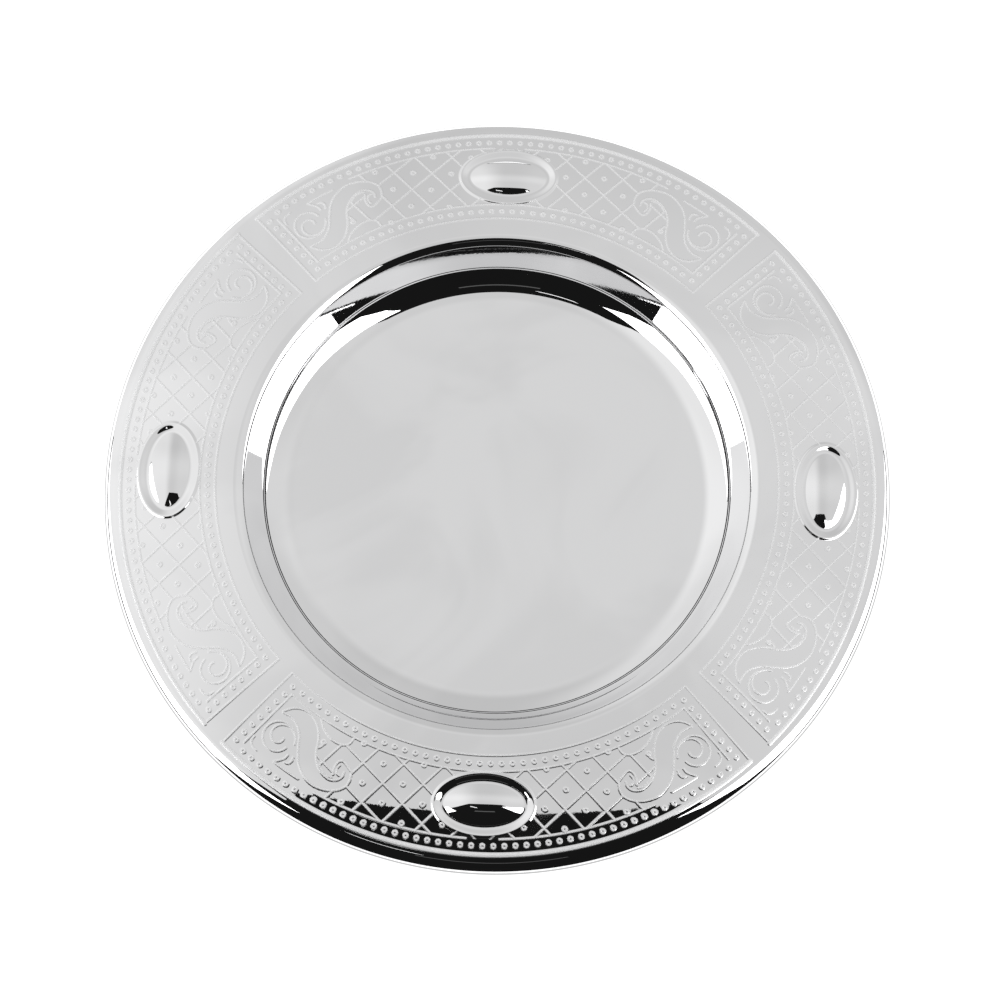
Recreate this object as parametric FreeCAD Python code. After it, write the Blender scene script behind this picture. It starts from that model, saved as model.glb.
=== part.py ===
import FreeCAD, Part
import math
import os

# Offering plate: one pressed and plated sheet with a round well, a broad sloping rim,
# four oval bosses and an edge that is rolled round a stiffening wire.
# Millimetres. The origin is the centre of the flat underside, +Z up, +X through one boss.

# driving dimensions
PLATE_DIAMETER = 305.0
SHEET = 0.8
WELL_DEPTH = 18.0          # crest of the rim down to the upper face of the floor
CREST_RADIUS = 101.7       # highest circle of the rim, round the mouth of the well
WALL_SLOPE = 58.7          # straight part of the wall, in degrees from level
FLOOR_FILLET = 15.0        # upper face, floor to wall
MOUTH_ROLL = 4.8           # upper face, wall to rim
RIM_CROWN = 600.0          # long convex curve across the rim's width
RIM_SLOPE = 7.3            # downward slope where the edge begins to turn, in degrees
EDGE_TURN = 6.0            # first, easier bend of the edge
CURL_SLOPE = 50.0          # downward slope where the tight curl begins, in degrees
CURL = 3.3                 # outer radius of the curl round the wire
CURL_TURN = 295.0          # slope reached by the curl's cut edge, in degrees
WIRE_CLEARANCE = 0.05

BOSS_COUNT = 4
BOSS_RADIUS = 127.2        # plate centre to boss centre
BOSS_SEMI_RADIAL = 7.8     # oval footprint of the dome
BOSS_SEMI_AROUND = 15.2
BOSS_HEIGHT = 2.1
BOSS_CAP = 45.0            # part of a full dome that shows, in degrees from its top
BEZEL_SEMI_RADIAL = 11.8   # oval line round the boss
BEZEL_SEMI_AROUND = 19.0
BEZEL_SECTION = 0.9        # half width of that line
BEZEL_HEIGHT = 0.4

AXIS_UP = FreeCAD.Vector(0, 0, 1)
CENTRE = FreeCAD.Vector(0, 0, 0)


class SheetPath:
    """Follows the sheet's upper face in the plane of radius and height.

    Each move adds an edge to the upper face and the parallel edge one sheet
    thickness below it. Headings are in degrees and 0 points outwards.
    """

    def __init__(self, radius, height):
        self.radius = radius
        self.height = height
        self.heading = 0.0
        self.upper = []
        self.lower = []

    def both_faces(self):
        turn = math.radians(self.heading)
        upper = FreeCAD.Vector(self.radius, 0, self.height)
        below = FreeCAD.Vector(math.sin(turn), 0, -math.cos(turn)) * SHEET
        return upper, upper + below

    def move(self, length, heading):
        self.radius += length * math.cos(math.radians(heading))
        self.height += length * math.sin(math.radians(heading))

    def line(self, length):
        starts = self.both_faces()
        self.move(length, self.heading)
        ends = self.both_faces()
        for edges, start, end in zip((self.upper, self.lower), starts, ends):
            edges.append(Part.LineSegment(start, end).toShape())

    def half_arc(self, radius, turn):
        chord = 2.0 * radius * math.sin(math.radians(abs(turn)) / 4.0)
        self.move(chord, self.heading + turn / 4.0)
        self.heading += turn / 2.0
        return self.both_faces()

    def arc(self, radius, new_heading):
        """Turns at a constant radius until the path points along new_heading."""
        turn = new_heading - self.heading
        starts = self.both_faces()
        middles = self.half_arc(radius, turn)
        ends = self.half_arc(radius, turn)
        for edges, start, middle, end in zip((self.upper, self.lower), starts, middles, ends):
            edges.append(Part.Arc(start, middle, end).toShape())

    def outline(self):
        caps = []
        for index in (0, -1):
            ends = [edges[index].Vertexes[index].Point for edges in (self.upper, self.lower)]
            caps.append(Part.LineSegment(*ends).toShape())
        edges = Part.sortEdges(self.upper + self.lower + caps)[0]
        return Part.Face(Part.Wire(edges))


def sine(degrees):
    return math.sin(math.radians(degrees))


def cosine(degrees):
    return math.cos(math.radians(degrees))


def wall_length():
    """Straight part of the wall that gives the stated well depth."""
    bends = (FLOOR_FILLET + MOUTH_ROLL) * (1.0 - cosine(WALL_SLOPE))
    return (WELL_DEPTH - bends) / sine(WALL_SLOPE)


def floor_radius():
    """Flat part of the floor that puts the crest on its stated radius."""
    bends = (FLOOR_FILLET + MOUTH_ROLL) * sine(WALL_SLOPE)
    return CREST_RADIUS - bends - wall_length() * cosine(WALL_SLOPE)


def slope_beside_mouth():
    """Downward slope where the mouth's roll meets the crown, in degrees."""
    edge_width = EDGE_TURN * (sine(CURL_SLOPE) - sine(RIM_SLOPE)) + CURL * (1.0 - sine(CURL_SLOPE))
    crown_end = PLATE_DIAMETER / 2.0 - edge_width
    rise = (CREST_RADIUS + RIM_CROWN * sine(RIM_SLOPE) - crown_end) / (RIM_CROWN - MOUTH_ROLL)
    return math.degrees(math.asin(rise))


def crown_height(radius):
    """Height of the rim's upper face at a radius on the crown."""
    start = math.asin(sine(slope_beside_mouth()))
    start_radius = CREST_RADIUS + MOUTH_ROLL * math.sin(start)
    start_height = SHEET + WELL_DEPTH - MOUTH_ROLL * (1.0 - math.cos(start))
    here = math.asin(math.sin(start) + (radius - start_radius) / RIM_CROWN)
    return start_height - RIM_CROWN * (math.cos(start) - math.cos(here))


def crown_slope(radius):
    start = math.radians(slope_beside_mouth())
    start_radius = CREST_RADIUS + MOUTH_ROLL * math.sin(start)
    return math.degrees(math.asin(math.sin(start) + (radius - start_radius) / RIM_CROWN))


def sheet_path():
    path = SheetPath(0.0, SHEET)
    path.line(floor_radius())
    path.arc(FLOOR_FILLET, WALL_SLOPE)
    path.line(wall_length())
    path.arc(MOUTH_ROLL, -slope_beside_mouth())
    path.arc(RIM_CROWN, -RIM_SLOPE)
    path.arc(EDGE_TURN, -CURL_SLOPE)
    path.arc(CURL, -CURL_TURN)
    return path


def scaled(shape, along_x, along_y, along_z):
    stretch = FreeCAD.Matrix()
    stretch.scale(along_x, along_y, along_z)
    return shape.transformGeometry(stretch)


def on_rim(shape, index):
    """Moves a boss detail from the origin to its place, square to the sloping rim."""
    shape.rotate(CENTRE, FreeCAD.Vector(0, 1, 0), crown_slope(BOSS_RADIUS))
    shape.translate(FreeCAD.Vector(BOSS_RADIUS, 0, crown_height(BOSS_RADIUS)))
    shape.rotate(CENTRE, AXIS_UP, index * 360.0 / BOSS_COUNT)
    return shape


def dome_ball():
    """Ellipsoid whose top is the dome. Its footprint lies on the sheet's upper face."""
    wide = sine(BOSS_CAP)
    tall = BOSS_HEIGHT / (1.0 - cosine(BOSS_CAP))
    ball = scaled(Part.makeSphere(1.0), BOSS_SEMI_RADIAL / wide, BOSS_SEMI_AROUND / wide, tall)
    ball.translate(FreeCAD.Vector(0, 0, -tall * cosine(BOSS_CAP)))
    return ball


def dome():
    """The part of the ellipsoid from the middle of the sheet's thickness up."""
    reach = 2.0 * BOSS_SEMI_AROUND
    above = Part.makeBox(reach, reach, reach, FreeCAD.Vector(-reach / 2.0, -reach / 2.0, -SHEET / 2.0))
    return dome_ball().common(above)


def boss_hollow():
    """The space under a dome, open below the sheet."""
    ball = dome_ball()
    ball.translate(FreeCAD.Vector(0, 0, -SHEET))
    return ball


def bezel():
    """Raised oval line round a boss, sunk by half of its section in the sheet."""
    section = BEZEL_SECTION / BEZEL_SEMI_AROUND
    ring = Part.makeTorus(1.0, section)
    return scaled(ring, BEZEL_SEMI_RADIAL, BEZEL_SEMI_AROUND, BEZEL_HEIGHT / section)


def plate_pressing():
    sheet = sheet_path().outline().revolve(CENTRE, AXIS_UP, 360)
    for index in range(BOSS_COUNT):
        sheet = sheet.fuse(on_rim(bezel(), index))
        sheet = sheet.fuse(on_rim(dome(), index))
        sheet = sheet.cut(on_rim(boss_hollow(), index))
    return sheet.removeSplitter()


def rim_wire():
    """Steel wire held inside the curled edge."""
    centre_radius = PLATE_DIAMETER / 2.0 - CURL
    curl = sheet_path().upper[-1].Curve
    wire = Part.makeTorus(centre_radius, CURL - SHEET - WIRE_CLEARANCE)
    wire.translate(FreeCAD.Vector(0, 0, curl.Center.z))
    return wire


def main():
    os.makedirs("parts", exist_ok=True)
    pieces = {"plate_pressing": plate_pressing(), "rim_wire": rim_wire()}
    for name, shape in pieces.items():
        if len(shape.Solids) == 1:
            shape = shape.Solids[0]
        shape.exportStep("parts/" + name + ".step")
        box = shape.BoundBox
        print(name, shape.isValid(), len(shape.Solids), round(shape.Volume), box)


main()
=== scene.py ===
from collections import namedtuple
import math

import bpy
import numpy as np
from mathutils import Matrix, Vector


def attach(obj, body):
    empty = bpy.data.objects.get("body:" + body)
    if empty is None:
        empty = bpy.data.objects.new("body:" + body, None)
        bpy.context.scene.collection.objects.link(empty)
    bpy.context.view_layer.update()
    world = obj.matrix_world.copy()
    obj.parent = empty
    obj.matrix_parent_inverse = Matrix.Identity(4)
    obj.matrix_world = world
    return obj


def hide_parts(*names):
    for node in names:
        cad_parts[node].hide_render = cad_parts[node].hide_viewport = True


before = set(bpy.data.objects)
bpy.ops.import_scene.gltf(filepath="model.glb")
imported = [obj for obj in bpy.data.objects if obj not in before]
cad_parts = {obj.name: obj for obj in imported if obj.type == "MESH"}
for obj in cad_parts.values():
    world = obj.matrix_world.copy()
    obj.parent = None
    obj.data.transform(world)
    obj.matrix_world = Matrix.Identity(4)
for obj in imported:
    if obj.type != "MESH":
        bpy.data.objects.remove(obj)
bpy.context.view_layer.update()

# ---------------------------------------------------------------- the sheet, in millimetres and degrees
MM = 0.001
SHEET = 0.8                 # thickness of the metal
PLATE_RADIUS = 152.5
WELL_DEPTH = 18.0           # crest of the rim down to the upper face of the floor
CREST_RADIUS = 101.7        # highest circle of the rim, round the mouth of the well
WALL_SLOPE = 58.7           # straight part of the wall
FLOOR_FILLET = 15.0         # radius of the bend from the floor to the wall
MOUTH_ROLL = 4.8            # radius of the bend from the wall to the rim
RIM_CROWN = 600.0           # radius of the long curve across the rim's width
RIM_SLOPE = 7.3             # downward slope where the edge begins to turn
EDGE_TURN = 6.0             # radius of the first, easier bend of the edge
CURL_SLOPE = 50.0           # downward slope where the tight curl begins
CURL = 3.3                  # outer radius of that curl
CURL_TURN = 295.0           # slope reached by the curl's cut edge

# Rings and points that each face of the sheet is divided into.
Detail = namedtuple("Detail", "around ring_step fillet_rings mouth_rings curl_rings")
UPPER_FACE = Detail(around=2400, ring_step=0.28, fillet_rings=48, mouth_rings=56, curl_rings=84)
UNDERSIDE = Detail(around=1200, ring_step=0.56, fillet_rings=20, mouth_rings=20, curl_rings=36)
AROUND_MEDIUM = 1200        # points round the plate next to the pattern
AROUND_PLAIN = 600          # and where the sheet is plain
FLOOR_RINGS, WALL_RINGS, BARE_RIM_RINGS, EDGE_RINGS = 20, 3, 8, 14
LEAD_IN_RINGS = 2           # rings next to the pattern on its inner side

# ---------------------------------------------------------------- the pattern, in millimetres and degrees
RELIEF_START = 107.2        # the pressed pattern lies outside this radius
HALF_PANELS = 8             # four panels round the plate, each of two mirrored halves
PANEL_END = 43.02           # half the angle that a panel spans

LINE_HALF = 0.46            # half width and height of a raised line
LINE_HEIGHT = 0.085
HOOP_HALF = 1.0             # the same for the outermost line of the frame
HOOP_HEIGHT = 0.17

FRAME_OUT, FRAME_IN = 146.0, 108.85     # radii of a panel's frame
FRAME_HEIGHT = 14.94        # of the sheet under the frame's outer line
BORDER_OUT, BORDER_IN = 140.2, 114.9    # radii of the border inside that frame
BORDER_END_GAP = 5.9        # frame's end line to border's end line
BORDER_BREAK = 6.2          # half width of the border's opening at the boss
BORDER_STOP = 27.0          # where the outer border line meets the scroll

BEAD_RADIUS = 0.72          # of the small raised rings, along their crest
BEAD_HALF = 0.52            # half width and height of a ring's ridge
BEAD_HEIGHT = 0.1
BEAD_PITCH = 4.12
BEADS_OUT, BEADS_IN = 142.8, 111.9      # radii of the two rows between frame and border
STRETCH_OUT, STRETCH_IN = 1.004, 0.992  # fit the pitch to the length of each row
COUNT_OUT, COUNT_IN, COUNT_END = 25, 19, 8      # small rings in half a panel's rows, and along its end
END_ROW = (-94.3, 105.5), (-73.8, 84.9)         # first and last of them along the panel's end

BOSS_RADIUS = 127.2         # plate centre to boss centre
BOSS_AROUND, BOSS_ACROSS = 15.2, 7.8
BOSS_HEIGHT = 2.5           # above the moat
DOME_POWER = 2.1            # how fast the dome falls away from its top
DOME_BLEND = 0.03           # rounding at the dome's foot, as a part of its height
DOME_FADE = 1.3             # the dome has died away at this many times its own size
MOAT_DEPTH = 0.4            # below the plain sheet
BANK = 3.1                  # width of the slope from the moat up to the lip
LIP_AROUND, LIP_ACROSS = 19.0, 11.8
LIP_HALF, LIP_HEIGHT = 0.95, 0.38

LATTICE_ALONG, LATTICE_ACROSS = 7.63, 7.43      # half diagonals of a lattice cell
LATTICE_RADIUS = 128.0      # a crossing lies here on the panel's centre line
LATTICE_CROSSINGS = 5       # more crossings beside it, on one side
LATTICE_REACH = 3.2         # half length of a lattice line, in half diagonals
DOT_ROWS, DOT_COLUMNS = range(-3, 2), range(-9, 1)      # half cells from that crossing
DOT_CLEAR = 1.05            # dots keep outside this many times the boss's lip
DOT_OVERHANG = 0.2          # a dot may pass the inner border line by this much

# The scroll's outlines, as points of smooth curves: along the panel and outwards.
BAND_OUTER = [(-77.2, 94.8), (-73.8, 96.6), (-71.6, 99.4), (-70.5, 103.0), (-70.6, 107.0), (-70.5, 112.6),
              (-69.4, 116.3), (-67.2, 119.7), (-64.5, 122.0), (-61.2, 123.3), (-57.8, 123.8), (-54.6, 123.4),
              (-52.0, 122.1), (-50.6, 119.8), (-50.1, 117.1)]
BAND_INNER = [(-77.0, 94.4), (-74.4, 93.4), (-71.6, 93.1), (-68.8, 93.8), (-66.3, 95.5), (-64.5, 98.0),
              (-63.4, 101.0), (-63.1, 105.0), (-63.7, 109.0), (-63.6, 112.4), (-62.6, 115.4), (-60.8, 117.9),
              (-58.2, 119.7), (-55.4, 119.8), (-53.5, 118.6), (-52.8, 116.8)]
BAND_FOLD = [(-62.4, 114.4), (-61.4, 116.3), (-59.8, 118.1), (-57.5, 119.0)]
HOOK_OUTER = [(-57.0, 117.8), (-56.8, 115.8), (-55.9, 113.9), (-54.8, 112.8), (-53.4, 112.7), (-51.9, 114.3),
              (-50.2, 116.6)]
HOOK_EYE = [(-54.3, 118.3), (-55.6, 117.2), (-55.6, 115.4), (-54.5, 114.2)]
LEAF = [(-62.3, 97.4), (-61.6, 100.0), (-60.1, 102.5), (-58.0, 104.7), (-55.6, 106.1), (-53.2, 106.6),
        (-51.2, 106.0), (-49.7, 104.1)]
LEAF_STALK = [(-62.9, 107.9), (-61.5, 107.0), (-60.9, 105.4)]
SPRIG_LEFT = [(-86.5, 109.3), (-88.1, 107.6), (-88.5, 105.8), (-87.5, 103.9)]
SPRIG_TOP = [(-79.7, 113.5), (-77.6, 112.9), (-75.6, 112.2), (-74.3, 110.8)]
SPRIG_TIP = [(-75.6, 113.6), (-74.2, 114.1), (-72.9, 113.2), (-72.3, 111.6)]
# Centre, first and last radius, first and last angle.
SPIRAL = ((-78.0, 104.0), 1.9, 6.6, 20.0, 386.0)
SPIRAL_RING = ((-78.7, 104.3), 5.2, 6.7, 48.0, 350.0)
SPIRAL_POWER = 1.6          # the spiral opens faster towards its outer end
SCROLL_BAR = (138.8, 30.4, 35.0)        # radius and angles of the short line above the spiral

# Where the lattice stops at the scroll: the band's outer edge past its shoulder, the hook, the
# band's inner edge, the leaf, and then far corners outside the border.
LATTICE_SHOULDER = -59.0
LATTICE_BACK = [(-59.8, 118.1), (-62.6, 114.6), (-63.6, 110.0), (-63.1, 105.0), (-62.9, 100.0)]
LATTICE_CORNERS = [(1.0, 95.0), (1.0, 150.0), (-62.5, 150.0), (-61.8, 127.4)]

# ---------------------------------------------------------------- the studio, in metres and degrees
# It is pale grey all round, with a white sheet of light at each side, a dark opening in the ceiling
# that the camera looks through, and a dark front below it.
CEILING = 1.0
OPENING = [(0.27, -0.134), (0.54, -0.35), (1.5, -0.9), (7.0, -3.0)]     # right half of its outline
DARK = 0.008                # brightness of the opening and of the front
SIDE_REACH = 1.1            # from the plate to the sheets of light
SHEET_LIGHT = 2.8
SHEET_FOOT = 7              # degrees up, where the sheets end and a dark strip below them begins
STRIP_LIGHT = 0.02
# Corners of the sheets of light: degrees round from the front towards the right, and degrees up.
RIGHT_SHEET = [(45, 48), (50, 72), (60, 62), (75, 45), (90, 32), (104, 20), (112, SHEET_FOOT),
               (59, SHEET_FOOT), (50, 21)]
LEFT_SHEET = [(-40, 48), (-62, 50), (-75, 38), (-90, 26), (-102, 15), (-110, SHEET_FOOT),
              (-54, SHEET_FOOT), (-46, 26)]
REFLECTOR = [(-17, 57), (17, 57), (17, 60), (-17, 60)]
REFLECTOR_LIGHT = 0.1
LAMP = [(-0.24, -0.27), (-0.13, -0.33), (-0.12, -0.37), (-0.24, -0.31)]
LAMP_DROP = 0.01            # below the ceiling
LAMP_LIGHT = 1.2

# Brightness of the room, how much it changes towards each side of it, and below the horizon.
ROOM = 0.69
TO_LEFT, TO_RIGHT, TO_FRONT, TO_BACK = 0.2, 0.05, -0.06, -0.11
BELOW_HORIZON = 0.12

SHADE_IN, SHADE_OUT = 0.10, 0.172       # radii of the shaded ring on the table
SHADE_LIFT = 0.0003         # above the table
SHADE_SPOKES = 96
SHADE_LIGHT = 0.6
TABLE_HALF = 3.0
TABLE_LIGHT = 0.9           # the table's own glow
TABLE_PAPER = 0.5           # part of the light falling on the table that it gives back

CAMERA_ELEVATION = 72.806
CAMERA_TURN = 3.9025        # round the plate's axis
CAMERA_ROLL = 1.8415
CAMERA_DISTANCE = 7.787 * FRAME_OUT * MM        # from the middle of the frame's outer circle
CAMERA_RIGHT = 0.0085 * FRAME_OUT * MM          # how far it stands to the right of that line of sight
CAMERA_DOWN = 0.0496 * FRAME_OUT * MM           # and below it
SENSOR_WIDTH = 36.0         # millimetres, as is the focal length
FOCAL_LENGTH = 105.54258

WHITE = (1.0, 1.0, 1.0, 1.0)
UP = np.array((0.0, 0.0, 1.0))
TINY = 1e-9                 # keeps a divisor above zero


def sine(degrees):
    return math.sin(math.radians(degrees))


def cosine(degrees):
    return math.cos(math.radians(degrees))


# ---------------------------------------------------------------- section of the sheet
class Section:
    """The sheet's upper face as rings: radius, height and heading in degrees."""

    def __init__(self):
        self.rings = [(0.0, SHEET, 0.0)]

    def line(self, length, count):
        """Straight on, in a number of rings."""
        radius, height, heading = self.rings[-1]
        for step in range(1, count + 1):
            part = length * step / count
            self.rings.append((radius + part * cosine(heading), height + part * sine(heading), heading))

    def arc(self, bend, new_heading, count):
        """Round to a new heading on a bend of this radius."""
        radius, height, heading = self.rings[-1]
        side = 1.0 if new_heading > heading else -1.0
        for step in range(1, count + 1):
            angle = heading + (new_heading - heading) * step / count
            out = side * bend * (sine(angle) - sine(heading))
            up = side * bend * (cosine(heading) - cosine(angle))
            self.rings.append((radius + out, height + up, angle))


def make_section(detail):
    """Rings from the centre to the cut edge, and the ring numbers where the pattern starts and ends."""
    bends = FLOOR_FILLET + MOUTH_ROLL
    wall = (WELL_DEPTH - bends * (1.0 - cosine(WALL_SLOPE))) / sine(WALL_SLOPE)
    floor = CREST_RADIUS - bends * sine(WALL_SLOPE) - wall * cosine(WALL_SLOPE)
    edge_width = EDGE_TURN * (sine(CURL_SLOPE) - sine(RIM_SLOPE)) + CURL * (1.0 - sine(CURL_SLOPE))
    crown_end = PLATE_RADIUS - edge_width
    start_sine = (CREST_RADIUS + RIM_CROWN * sine(RIM_SLOPE) - crown_end) / (RIM_CROWN - MOUTH_ROLL)
    start_slope = math.degrees(math.asin(start_sine))
    crown_start = CREST_RADIUS + MOUTH_ROLL * start_sine
    relief_slope = math.degrees(math.asin(start_sine + (RELIEF_START - crown_start) / RIM_CROWN))
    section = Section()
    section.line(floor, FLOOR_RINGS)
    section.arc(FLOOR_FILLET, WALL_SLOPE, detail.fillet_rings)
    section.line(wall, WALL_RINGS)
    section.arc(MOUTH_ROLL, -start_slope, detail.mouth_rings)
    section.arc(RIM_CROWN, -relief_slope, BARE_RIM_RINGS)
    first = len(section.rings) - 1
    section.arc(RIM_CROWN, -RIM_SLOPE, round((crown_end - RELIEF_START) / detail.ring_step))
    last = len(section.rings) - 1
    section.arc(EDGE_TURN, -CURL_SLOPE, EDGE_RINGS)
    section.arc(CURL, -CURL_TURN, detail.curl_rings)
    return np.array(section.rings), first, last


# ---------------------------------------------------------------- lines and rings of the pattern
# A panel's pattern is laid out flat: "along" runs round the plate from the panel's centre
# line and "out" runs outwards from the plate's centre. Only the half with along <= 0 is
# described, and the other half is its mirror image.

def on_arc(radius, start, end, count=80):
    """Line round the plate's centre, between two angles from the panel's centre line."""
    angles = np.radians(np.linspace(start, end, count))
    return np.column_stack((-radius * np.sin(angles), radius * np.cos(angles)))


def smooth_curve(points, steps=10):
    """Catmull-Rom curve through the points."""
    points = np.array(points, float)
    ends = np.vstack((2.0 * points[0] - points[1], points, 2.0 * points[-1] - points[-2]))
    t = np.linspace(0.0, 1.0, steps, endpoint=False)[:, None]
    spans = []
    for a, b, c, d in zip(ends, ends[1:], ends[2:], ends[3:]):
        spans.append(0.5 * (2 * b + (c - a) * t + (2 * a - 5 * b + 4 * c - d) * t ** 2
                            + (3 * b - a - 3 * c + d) * t ** 3))
    return np.vstack(spans + [points[-1:]])


def spiral(centre, start_radius, end_radius, start, end, count=70):
    """Spiral about a centre, between two radii and two angles."""
    turn = np.linspace(0.0, 1.0, count)
    angle = np.radians(start + (end - start) * turn)
    radius = start_radius + (end_radius - start_radius) * turn ** SPIRAL_POWER
    return np.column_stack((centre[0] + radius * np.cos(angle), centre[1] + radius * np.sin(angle)))


def end_line(gap, inner, outer):
    """Line parallel to a panel's end, between two circles about the plate's centre."""
    direction = np.array((-sine(PANEL_END), cosine(PANEL_END)))
    inward = np.array((cosine(PANEL_END), sine(PANEL_END)))
    reach = [math.sqrt(radius ** 2 - gap ** 2) for radius in (inner, outer)]
    return np.array([gap * inward + length * direction for length in reach])


def scroll_strokes():
    """Lines of the leaf band and its scroll."""
    curves = (BAND_OUTER, BAND_INNER, BAND_FOLD, HOOK_OUTER, HOOK_EYE,
              LEAF, LEAF_STALK, SPRIG_LEFT, SPRIG_TOP, SPRIG_TIP)
    strokes = [smooth_curve(points) for points in curves]
    strokes.append(spiral(*SPIRAL))
    strokes.append(spiral(*SPIRAL_RING))
    strokes.append(on_arc(*SCROLL_BAR))
    return strokes


def frame_strokes():
    """Lines of the frame and of the border inside it. The outermost line is the hoop, made apart."""
    border_start = math.degrees(math.asin(BORDER_BREAK / BORDER_OUT))
    border_end = end_line(BORDER_END_GAP, BORDER_IN, BORDER_OUT)
    corner = math.degrees(math.atan2(-border_end[0][0], border_end[0][1]))
    return [
        on_arc(FRAME_IN, 0.0, PANEL_END),
        end_line(0.0, FRAME_IN, FRAME_OUT),
        on_arc(BORDER_OUT, border_start, BORDER_STOP),
        on_arc(BORDER_IN, 0.0, corner),
        border_end,
    ]


def lattice_field():
    """Outline of the area that the lattice fills, past the band, the hook and the leaf."""
    band = [point for point in BAND_OUTER if point[0] > LATTICE_SHOULDER]
    return np.array(band + HOOK_OUTER[::-1] + LATTICE_BACK + LEAF + LATTICE_CORNERS)


def lattice_strokes():
    """Both diagonals through the crossing on the panel's centre line and through those beside it."""
    strokes = []
    for column in range(-LATTICE_CROSSINGS, 1):
        for rise in (1.0, -1.0):
            centre = np.array((2.0 * column * LATTICE_ALONG, LATTICE_RADIUS))
            step = np.array((LATTICE_ALONG, rise * LATTICE_ACROSS))
            strokes.append(np.array([centre - LATTICE_REACH * step, centre + LATTICE_REACH * step]))
    return strokes


def lattice_dots():
    """Middle of every lattice cell that shows."""
    dots = []
    for row in DOT_ROWS:
        for column in DOT_COLUMNS:
            if (row + column) % 2 == 0:
                continue
            along = column * LATTICE_ALONG
            out = LATTICE_RADIUS + row * LATTICE_ACROSS
            radius = math.hypot(along, out)
            in_boss = math.hypot(along / LIP_AROUND, (out - BOSS_RADIUS) / LIP_ACROSS) < DOT_CLEAR
            if BORDER_IN - DOT_OVERHANG < radius < BORDER_OUT and not in_boss:
                dots.append((along, out))
    dots = np.array(dots)
    return dots[inside(dots, lattice_field())]


def frame_beads():
    """Middle of every small ring between the frame and the border."""
    pitch_out = math.degrees(BEAD_PITCH / BEADS_OUT) * STRETCH_OUT
    pitch_in = math.degrees(BEAD_PITCH / BEADS_IN) * STRETCH_IN
    beads = []
    for number in range(COUNT_OUT):
        beads.append((-BEADS_OUT * sine(number * pitch_out), BEADS_OUT * cosine(number * pitch_out)))
    for number in range(COUNT_IN):
        angle = (number + 0.5) * pitch_in
        beads.append((-BEADS_IN * sine(angle), BEADS_IN * cosine(angle)))
    start, end = np.array(END_ROW)
    for number in range(COUNT_END):
        beads.append(tuple(start + (end - start) * number / (COUNT_END - 1)))
    return np.array(beads)


# ---------------------------------------------------------------- relief of the pattern
def inside(points, outline):
    """Even-odd test of points against a closed outline."""
    result = np.zeros(len(points), bool)
    x, y = points[:, 0], points[:, 1]
    for (ax, ay), (bx, by) in zip(outline, np.roll(outline, -1, axis=0)):
        crosses = (ay > y) != (by > y)
        with np.errstate(divide="ignore", invalid="ignore"):
            where = ax + (y - ay) * (bx - ax) / (by - ay)
        result ^= crosses & (x < where)
    return result


def distance_to(points, stroke, reach):
    """Distance from each point to a polyline, as far as reach."""
    distance = np.full(len(points), reach)
    for a, b in zip(stroke, stroke[1:]):
        low, high = np.minimum(a, b) - reach, np.maximum(a, b) + reach
        near = np.nonzero(np.all((points > low) & (points < high), axis=1))[0]
        if not len(near):
            continue
        span = b - a
        along = np.clip((points[near] - a) @ span / max(span @ span, TINY), 0.0, 1.0)
        gap = np.linalg.norm(points[near] - a - along[:, None] * span, axis=1)
        distance[near] = np.minimum(distance[near], gap)
    return distance


def ridge(distance, half_width, height):
    """Rounded ridge: height on its crest, nothing from half_width outwards."""
    return height * 0.5 * (1.0 + np.cos(np.pi * np.clip(distance / half_width, 0.0, 1.0)))


def raised_line(points, stroke):
    return ridge(distance_to(points, stroke, LINE_HALF), LINE_HALF, LINE_HEIGHT)


def smooth_max(value, blend):
    """The larger of value and zero, rounded where they meet."""
    return 0.5 * (value + np.sqrt(value * value + blend * blend))


def smooth_step(value):
    value = np.clip(value, 0.0, 1.0)
    return value * value * (3.0 - 2.0 * value)


def boss_height(points):
    """Dome, the moat round it and the raised lip outside the moat. Also the distance out from the lip."""
    along, out = points[:, 0], points[:, 1] - BOSS_RADIUS
    lip = np.hypot(along / LIP_AROUND, out / LIP_ACROSS)
    slope = np.hypot(along / LIP_AROUND ** 2, out / LIP_ACROSS ** 2) + TINY
    from_lip = (lip - 1.0) * lip / slope
    ground = LIP_HEIGHT - (LIP_HEIGHT + MOAT_DEPTH) * smooth_step(-from_lip / BANK)
    ground = np.where(from_lip > 0.0, ridge(from_lip, LIP_HALF, LIP_HEIGHT), ground)
    dome = np.hypot(along / BOSS_AROUND, out / BOSS_ACROSS)
    rise = 1.0 - np.clip(dome, 0.0, DOME_FADE) ** DOME_POWER
    return ground + BOSS_HEIGHT * smooth_max(rise, DOME_BLEND), from_lip


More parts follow.
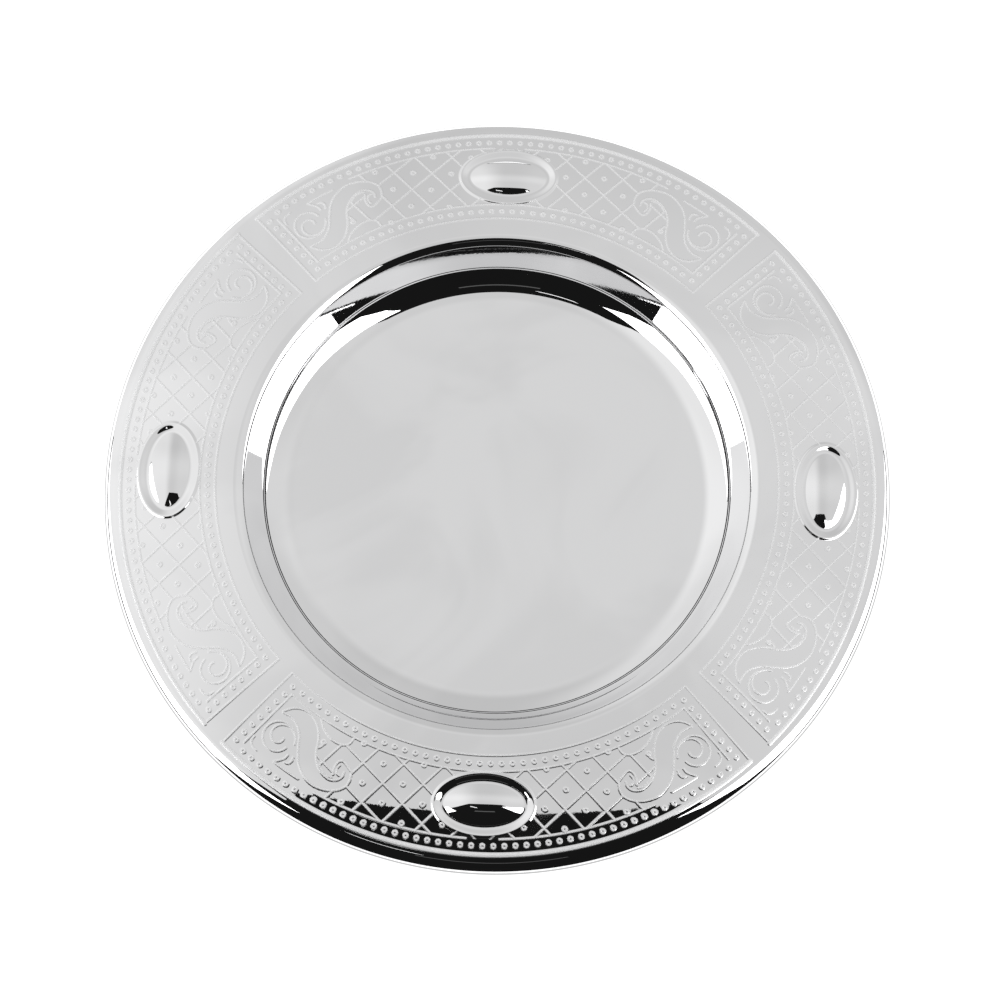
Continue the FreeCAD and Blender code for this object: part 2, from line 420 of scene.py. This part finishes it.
def panel_height(points):
    """Height of the pattern above the plain sheet at points of a panel's left half, and how far
    the surface is frosted there: the lines and rings are matt, and all else is polished."""
    boss, from_lip = boss_height(points)
    lattice = np.zeros(len(points))
    for stroke in lattice_strokes():
        lattice = np.maximum(lattice, raised_line(points, stroke))
    radius = np.linalg.norm(points, axis=1)
    shown = inside(points, lattice_field()) & (radius > BORDER_IN) & (radius < BORDER_OUT) & (from_lip > 0.0)
    height = np.where(shown, lattice, 0.0)
    for stroke in frame_strokes() + scroll_strokes():
        height = np.maximum(height, raised_line(points, stroke))
    hoop = distance_to(points, on_arc(FRAME_OUT, 0.0, PANEL_END), HOOP_HALF)
    height = np.maximum(height, ridge(hoop, HOOP_HALF, HOOP_HEIGHT))
    for bead in np.vstack((frame_beads(), lattice_dots())):
        near = np.nonzero(np.all(np.abs(points - bead) < BEAD_RADIUS + BEAD_HALF, axis=1))[0]
        from_crest = np.abs(np.linalg.norm(points[near] - bead, axis=1) - BEAD_RADIUS)
        height[near] = np.maximum(height[near], ridge(from_crest, BEAD_HALF, BEAD_HEIGHT))
    height = np.where(from_lip > 0.0, height, 0.0)
    frost = np.clip(height / LINE_HEIGHT, 0.0, 1.0)
    return np.where(from_lip < 0.0, boss, np.maximum(boss, height)), frost


def pattern(radii, around):
    """Height and frosting of the pattern on the rings, for every point round the plate."""
    half_panel = around // HALF_PANELS
    angles = np.radians(np.arange(half_panel + 1) * 360.0 / around)
    radius, angle = np.meshgrid(radii, angles, indexing="ij")
    points = np.column_stack((-(radius * np.sin(angle)).ravel(), (radius * np.cos(angle)).ravel()))
    column = np.arange(around) % (2 * half_panel)
    column = np.minimum(column, 2 * half_panel - column)
    return [half.reshape(radius.shape)[:, column] for half in panel_height(points)]


# ---------------------------------------------------------------- mesh of the pressing
class Surface:
    """Collects rings of points with their normals and frosting, and joins neighbouring rings."""

    def __init__(self):
        self.points, self.normals, self.frost, self.faces = [], [], [], []
        self.total = 0

    def ring(self, points, normals, frost=0.0):
        """Adds a ring and returns the number of its first point and how many it has."""
        start = self.total
        self.points.append(points)
        self.normals.append(normals)
        self.frost.append(np.zeros(len(points)) + frost)
        self.total += len(points)
        return start, len(points)

    def join(self, inner, outer, flip):
        """Faces between two rings. One may have twice as many points as the other."""
        (a, many_a), (b, many_b) = inner, outer
        for number in range(max(many_a, many_b)):
            following = number + 1
            if many_a == many_b:
                face = [a + number, b + number, b + following % many_b, a + following % many_a]
                self.add(face, flip)
            elif many_b > many_a and number % 2 == 0:
                left, right = a + number // 2, a + (number // 2 + 1) % many_a
                middle, end = b + number + 1, b + (number + 2) % many_b
                self.add([left, b + number, middle], flip)
                self.add([left, middle, right], flip)
                self.add([right, middle, end], flip)
            elif many_a > many_b and number % 2 == 0:
                left, right = b + number // 2, b + (number // 2 + 1) % many_b
                middle, end = a + number + 1, a + (number + 2) % many_a
                self.add([a + number, left, middle], flip)
                self.add([middle, left, right], flip)
                self.add([middle, right, end], flip)

    def fan(self, middle, ring, flip):
        """Triangles from a ring of one point to the ring round it."""
        start, many = ring
        for number in range(many):
            self.add([middle[0], start + number, start + (number + 1) % many], flip)

    def add(self, face, flip):
        self.faces.append(face[::-1] if flip else face)


def circle(many):
    """Unit vectors outwards and round the plate, at points spaced evenly round it."""
    angle = 2.0 * math.pi * np.arange(many) / many
    outwards = np.column_stack((np.cos(angle), np.sin(angle), np.zeros(many)))
    round_plate = np.column_stack((-np.sin(angle), np.cos(angle), np.zeros(many)))
    return outwards, round_plate


def points_on_ring(index, first, last, most):
    """How many points a ring has: most of them in the pattern, and fewer on plain metal."""
    if first <= index <= last:
        return most
    if first - LEAD_IN_RINGS <= index <= last + EDGE_RINGS:
        return AROUND_MEDIUM
    return AROUND_PLAIN


def sheet_face(surface, detail, underside):
    """One face of the sheet, from the centre to the cut edge. Returns its last ring and heading."""
    rings, first, last = make_section(detail)
    most = detail.around
    radius, height, heading = rings[:, 0], rings[:, 1], np.radians(rings[:, 2])
    if underside:
        radius = radius + SHEET * np.sin(heading)
        height = height - SHEET * np.cos(heading)
    relief, frost = np.zeros((2, len(rings), most))
    relief[first:last + 1], frost[first:last + 1] = pattern(rings[first:last + 1, 0], most)
    length = np.concatenate(([0.0], np.cumsum(np.hypot(np.diff(radius), np.diff(height)))))
    # Slopes of the relief: for each millimetre outwards, and for each radian round the plate.
    rise_out = np.gradient(relief, length, axis=0)
    rise_round = (np.roll(relief, -1, axis=1) - np.roll(relief, 1, axis=1)) * most / (4.0 * math.pi)
    side = -1.0 if underside else 1.0
    middle = surface.ring(np.array([[0.0, 0.0, height[0]]]), np.array([[0.0, 0.0, side]]))
    previous = None
    for index in range(1, len(rings)):
        many = points_on_ring(index, first, last, most)
        skip = most // many
        outwards, round_plate = circle(many)
        plain = -math.sin(heading[index]) * outwards + math.cos(heading[index]) * UP
        tangent = math.cos(heading[index]) * outwards + math.sin(heading[index]) * UP
        lift = relief[index, ::skip][:, None]
        slope_out = rise_out[index, ::skip][:, None]
        slope_round = rise_round[index, ::skip][:, None] / radius[index]
        points = radius[index] * outwards + height[index] * UP + lift * plain
        normals = plain - slope_out * tangent - slope_round * round_plate
        normals *= side / np.linalg.norm(normals, axis=1)[:, None]
        current = surface.ring(points, normals, frost[index, ::skip])
        if previous is None:
            surface.fan(middle, current, underside)
        else:
            surface.join(previous, current, underside)
        previous = current
    return previous, heading[-1]


def cut_edge(surface, upper_edge, lower_edge, heading):
    """Narrow band that closes the sheet between the last rings of its two faces."""
    outwards = circle(AROUND_PLAIN)[0]
    ahead = math.cos(heading) * outwards + math.sin(heading) * UP
    every_point = np.vstack(surface.points)
    ends = []
    for start, many in (upper_edge, lower_edge):
        ends.append(surface.ring(every_point[start:start + many], ahead))
    surface.join(ends[0], ends[1], False)


def make_pressing():
    """The pressed sheet: its upper face with the pattern, its underside and its cut edge."""
    surface = Surface()
    upper_edge, heading = sheet_face(surface, UPPER_FACE, False)
    lower_edge, heading = sheet_face(surface, UNDERSIDE, True)
    cut_edge(surface, upper_edge, lower_edge, heading)
    points = np.vstack(surface.points) * MM
    mesh = bpy.data.meshes.new("pressed_plate")
    mesh.from_pydata(points.tolist(), [], surface.faces)
    mesh.polygons.foreach_set("use_smooth", [True] * len(mesh.polygons))
    frosted = mesh.attributes.new("frost", "FLOAT", "POINT")
    frosted.data.foreach_set("value", np.concatenate(surface.frost))
    mesh.normals_split_custom_set_from_vertices(np.vstack(surface.normals).tolist())
    pressing = bpy.data.objects.new("pressed_plate", mesh)
    bpy.context.scene.collection.objects.link(pressing)
    return pressing


# ---------------------------------------------------------------- materials
class Nodes:
    """Short calls for building a node tree."""

    def __init__(self, tree):
        self.tree = tree
        self.tree.nodes.clear()

    def add(self, kind, inputs=None, **settings):
        node = self.tree.nodes.new(kind)
        for key, value in settings.items():
            setattr(node, key, value)
        for key, value in (inputs or {}).items():
            self.feed(node.inputs[key], value)
        return node

    def feed(self, socket, value):
        if isinstance(value, bpy.types.NodeSocket):
            self.tree.links.new(value, socket)
        else:
            socket.default_value = value

    def total(self, first, second):
        node = self.add("ShaderNodeMath", operation="ADD")
        self.feed(node.inputs[0], first)
        self.feed(node.inputs[1], second)
        return node.outputs[0]

    def blend(self, factor, low, high):
        """Number between low and high."""
        node = self.add("ShaderNodeMix", data_type="FLOAT")
        self.feed(node.inputs["Factor"], factor)
        self.feed(node.inputs["A"], low)
        self.feed(node.inputs["B"], high)
        return node.outputs["Result"]

    def blend_colour(self, factor, low, high):
        """Colour between low and high. The node's colour sockets are found by number."""
        node = self.add("ShaderNodeMix", data_type="RGBA")
        self.feed(node.inputs["Factor"], factor)
        self.feed(node.inputs[6], low)
        self.feed(node.inputs[7], high)
        return node.outputs[2]

    def soft_step(self, value, start, end):
        """0 where value is below start, 1 above end, smooth between."""
        node = self.add("ShaderNodeMapRange", interpolation_type="SMOOTHSTEP")
        for socket, number in zip(node.inputs, (value, start, end, 0.0, 1.0)):
            self.feed(socket, number)
        return node.outputs[0]

    def noise(self, place, **settings):
        """Noise over the surface, from 0 to 1. The settings are the node's inputs, in small letters."""
        inputs = {key.capitalize(): value for key, value in settings.items()}
        return self.add("ShaderNodeTexNoise", {"Vector": place, **inputs}).outputs["Fac"]

    def bump(self, height, strength, distance):
        node = self.add("ShaderNodeBump", {"Strength": strength, "Distance": distance, "Height": height})
        return node.outputs[0]


def new_material(name):
    """Material with an empty node tree, and the tree's short calls."""
    material = bpy.data.materials.new(name)
    material.use_nodes = True
    return material, Nodes(material.node_tree)


def silver_plate():
    """Polished silver plate with faint smudges and rubbed patches, and matt raised lines."""
    polished, smudged, frosted = 0.012, 0.05, 0.5       # roughness
    bright, rubbed = (0.95, 0.95, 0.955, 1.0), (0.895, 0.895, 0.9, 1.0)
    frosted_metallic = 0.45     # the matt lines scatter light as well as mirroring it
    material, nodes = new_material("silver_plate")
    place = nodes.add("ShaderNodeTexCoord").outputs["Object"]
    smudges = nodes.noise(place, scale=14.0, detail=6.0, roughness=0.62)
    rubbing = nodes.noise(place, scale=11.0, detail=3.0, distortion=1.2)
    grain = nodes.noise(place, scale=900.0, detail=2.0)
    frost = nodes.add("ShaderNodeAttribute", attribute_name="frost").outputs["Fac"]
    sheen = nodes.blend(nodes.soft_step(smudges, start=0.5, end=0.72), polished, smudged)
    shader = nodes.add("ShaderNodeBsdfPrincipled", {
        "Base Color": nodes.blend_colour(nodes.soft_step(rubbing, start=0.42, end=0.6), bright, rubbed),
        "Metallic": nodes.blend(frost, 1.0, frosted_metallic),
        "Roughness": nodes.blend(frost, sheen, frosted),
        "Normal": nodes.bump(grain, strength=0.006, distance=0.0002)})
    nodes.add("ShaderNodeOutputMaterial", {"Surface": shader.outputs[0]})
    return material


def drawn_wire():
    """Dull steel with fine streaks."""
    material, nodes = new_material("drawn_wire")
    place = nodes.add("ShaderNodeTexCoord").outputs["Object"]
    streaks = nodes.noise(place, scale=600.0, detail=3.0)
    shader = nodes.add("ShaderNodeBsdfPrincipled", {
        "Base Color": (0.5, 0.5, 0.51, 1.0),
        "Metallic": 1.0,
        "Roughness": nodes.blend(streaks, low=0.28, high=0.5),
        "Normal": nodes.bump(streaks, strength=0.2, distance=0.0001)})
    nodes.add("ShaderNodeOutputMaterial", {"Surface": shader.outputs[0]})
    return material


def table_white():
    """White paper that also glows, so that the table looks pure white."""
    material, nodes = new_material("table_white")
    glow = nodes.add("ShaderNodeEmission", {"Color": WHITE, "Strength": TABLE_LIGHT})
    paper = nodes.add("ShaderNodeBsdfDiffuse", {"Color": (TABLE_PAPER, TABLE_PAPER, TABLE_PAPER, 1.0)})
    both = nodes.add("ShaderNodeAddShader")
    nodes.feed(both.inputs[0], glow.outputs[0])
    nodes.feed(both.inputs[1], paper.outputs[0])
    nodes.add("ShaderNodeOutputMaterial", {"Surface": both.outputs[0]})
    return material


def luminous(name, light):
    """White light of one brightness."""
    material, nodes = new_material(name)
    glow = nodes.add("ShaderNodeEmission", {"Color": WHITE, "Strength": light})
    nodes.add("ShaderNodeOutputMaterial", {"Surface": glow.outputs[0]})
    return material


# ---------------------------------------------------------------- studio
def stage_piece(name, corners, faces, material):
    """Part of the studio, which isn't part of the object."""
    mesh = bpy.data.meshes.new(name)
    mesh.from_pydata(corners, [], faces)
    mesh.materials.append(material)
    piece = bpy.data.objects.new(name, mesh)
    bpy.context.scene.collection.objects.link(piece)
    return piece


def card(name, corners, light, faces=None):
    """Luminous panel that only lights and reflects. It is one face unless its faces are given."""
    faces = faces or [tuple(range(len(corners)))]
    panel = stage_piece(name, corners, faces, luminous(name, light))
    panel.visible_camera = False


def toward(azimuth, elevation):
    """Point on the sheets' sphere about the plate."""
    flat = SIDE_REACH * cosine(elevation)
    return flat * sine(azimuth), -flat * cosine(azimuth), SIDE_REACH * sine(elevation)


def side_light(name, directions):
    """White sheet of light, and the dark strip between it and the table."""
    card(name, [toward(*direction) for direction in directions], SHEET_LIGHT)
    top = [toward(azimuth, elevation) for azimuth, elevation in directions if elevation == SHEET_FOOT]
    foot = [(x, y, 0.0) for x, y, z in reversed(top)]
    card(name + "_foot", top + foot, STRIP_LIGHT)


def dark_opening():
    """Dark opening in the ceiling and dark front, with a faint reflector and a small lamp."""
    right = [(x, y, CEILING) for x, y in OPENING]
    left = [(-x, y, CEILING) for x, y in reversed(OPENING)]
    card("ceiling_opening", right + left, DARK)
    reach, front = OPENING[-1]
    foot = [(-reach, front, 0.0), (reach, front, 0.0)]
    head = [(reach, front, CEILING), (-reach, front, CEILING)]
    card("dark_front", foot + head, DARK)
    card("reflector", [toward(*direction) for direction in REFLECTOR], REFLECTOR_LIGHT)
    card("room_lamp", [(x, y, CEILING - LAMP_DROP) for x, y in LAMP], LAMP_LIGHT)


def studio_world():
    """Pale grey room. Its tones change gently with direction, and it is dark below the horizon."""
    world = bpy.data.worlds.new("studio")
    bpy.context.scene.world = world
    world.use_nodes = True
    nodes = Nodes(world.node_tree)
    direction = nodes.add("ShaderNodeTexCoord").outputs["Generated"]
    x, y, z = nodes.add("ShaderNodeSeparateXYZ", {"Vector": direction}).outputs
    left = nodes.blend(nodes.soft_step(x, start=-0.45, end=-0.05), TO_LEFT, 0.0)
    right = nodes.blend(nodes.soft_step(x, start=0.05, end=0.45), 0.0, TO_RIGHT)
    front = nodes.blend(nodes.soft_step(y, start=0.0, end=0.3), TO_FRONT, 0.0)
    front_to_back = nodes.blend(nodes.soft_step(y, start=0.35, end=0.68), front, TO_BACK)
    light = nodes.total(nodes.total(left, right), nodes.total(front_to_back, ROOM))
    light = nodes.blend(nodes.soft_step(z, start=0.012, end=0.03), BELOW_HORIZON, light)
    surface = nodes.add("ShaderNodeBackground", {"Color": WHITE, "Strength": light})
    nodes.add("ShaderNodeOutputWorld", {"Surface": surface.outputs[0]})


def shade_under_rim():
    """Grey ring on the table, where the plate keeps the light away."""
    spokes = range(SHADE_SPOKES)
    angles = [360.0 * spoke / SHADE_SPOKES for spoke in spokes]
    corners = [(radius * cosine(angle), radius * sine(angle), SHADE_LIFT)
               for radius in (SHADE_IN, SHADE_OUT) for angle in angles]
    faces = []
    for spoke in spokes:
        following = (spoke + 1) % SHADE_SPOKES
        faces.append((spoke, following, SHADE_SPOKES + following, SHADE_SPOKES + spoke))
    card("shade_under_rim", corners, SHADE_LIGHT, faces)


def table():
    """The floor that the plate stands on."""
    half = TABLE_HALF
    corners = [(-half, -half, 0.0), (half, -half, 0.0), (half, half, 0.0), (-half, half, 0.0)]
    stage_piece("table", corners, [(0, 1, 2, 3)], table_white())


def studio():
    studio_world()
    dark_opening()
    shade_under_rim()
    side_light("sheet_of_light_right", RIGHT_SHEET)
    side_light("sheet_of_light_left", LEFT_SHEET)
    table()


def camera():
    """Seen from above the front edge, nearly square on, with a little turn and roll."""
    elevation, turn, roll = (math.radians(angle) for angle in (CAMERA_ELEVATION, CAMERA_TURN, CAMERA_ROLL))
    rim = Vector((0.0, 0.0, FRAME_HEIGHT * MM))
    turned = Matrix.Rotation(turn, 4, "Z")
    right = turned @ Vector((1.0, 0.0, 0.0))
    backward = turned @ Vector((0.0, -math.cos(elevation), math.sin(elevation)))
    up = backward.cross(right)
    place = rim + CAMERA_DISTANCE * backward + CAMERA_RIGHT * right - CAMERA_DOWN * up
    rolled_right = math.cos(roll) * right - math.sin(roll) * up
    rolled_up = math.cos(roll) * up + math.sin(roll) * right
    pose = Matrix((rolled_right, rolled_up, backward)).transposed().to_4x4()
    pose.translation = place
    data = bpy.data.cameras.new("camera")
    data.sensor_width = SENSOR_WIDTH
    data.lens = FOCAL_LENGTH
    eye = bpy.data.objects.new("camera", data)
    eye.matrix_world = pose
    bpy.context.scene.collection.objects.link(eye)
    bpy.context.scene.camera = eye


# ---------------------------------------------------------------- the plate in its studio
plate = make_pressing()
plate.data.materials.append(silver_plate())
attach(plate, "root")
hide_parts("plate_pressing")

steel = drawn_wire()
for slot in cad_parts["rim_wire"].material_slots:
    slot.material = steel

studio()
camera()
bpy.context.scene.view_settings.view_transform = "Standard"
